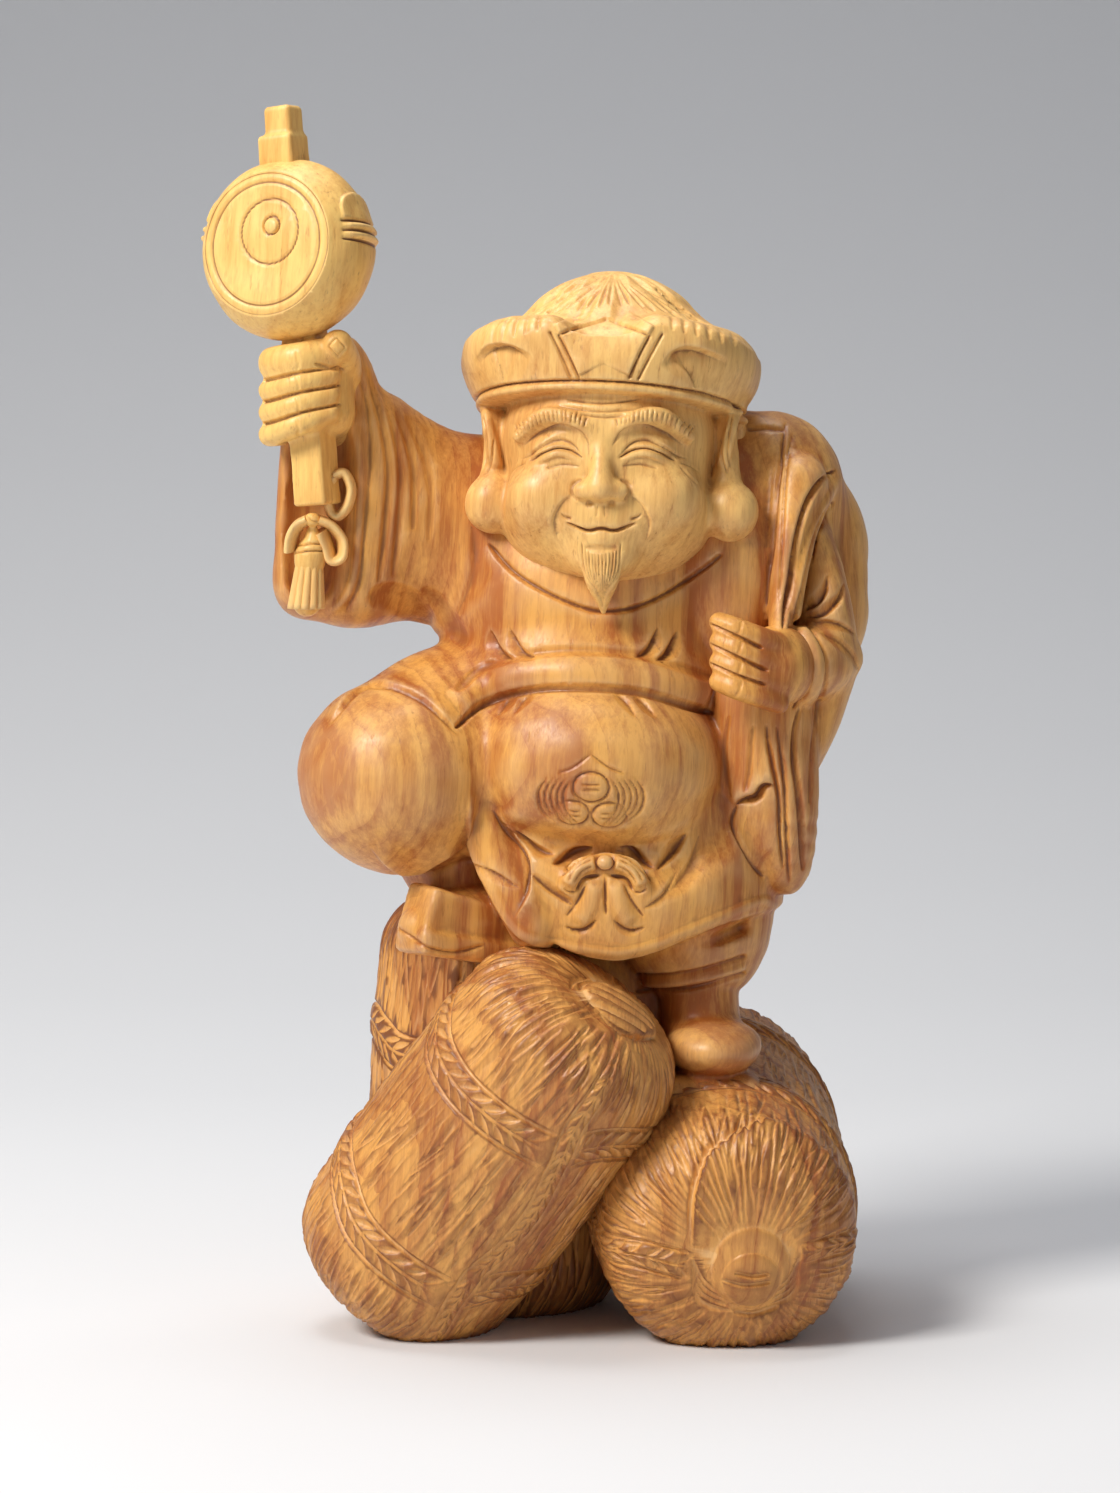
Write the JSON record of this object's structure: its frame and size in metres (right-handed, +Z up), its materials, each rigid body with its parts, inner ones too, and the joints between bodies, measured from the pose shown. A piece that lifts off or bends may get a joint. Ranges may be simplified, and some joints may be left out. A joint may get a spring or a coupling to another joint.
{
  "type": "daikoku figure",
  "caption": "Carved wooden figure of a smiling fortune god with hat, raised mallet and sack, one knee lifted, standing on rice bales with a flat-cut underside.",
  "frame": {"origin": "centre of the figure's bounding box on the surface it stands on", "axes": "+Z up, the figure's front faces -Y, its raised mallet is towards -X"},
  "size_m": [0.116, 0.0852, 0.21],
  "materials": {
    "wood": "satin"
  },
  "bodies": {
    "root": {"daikoku_figure": "wood"}
  },
  "joints": []
}
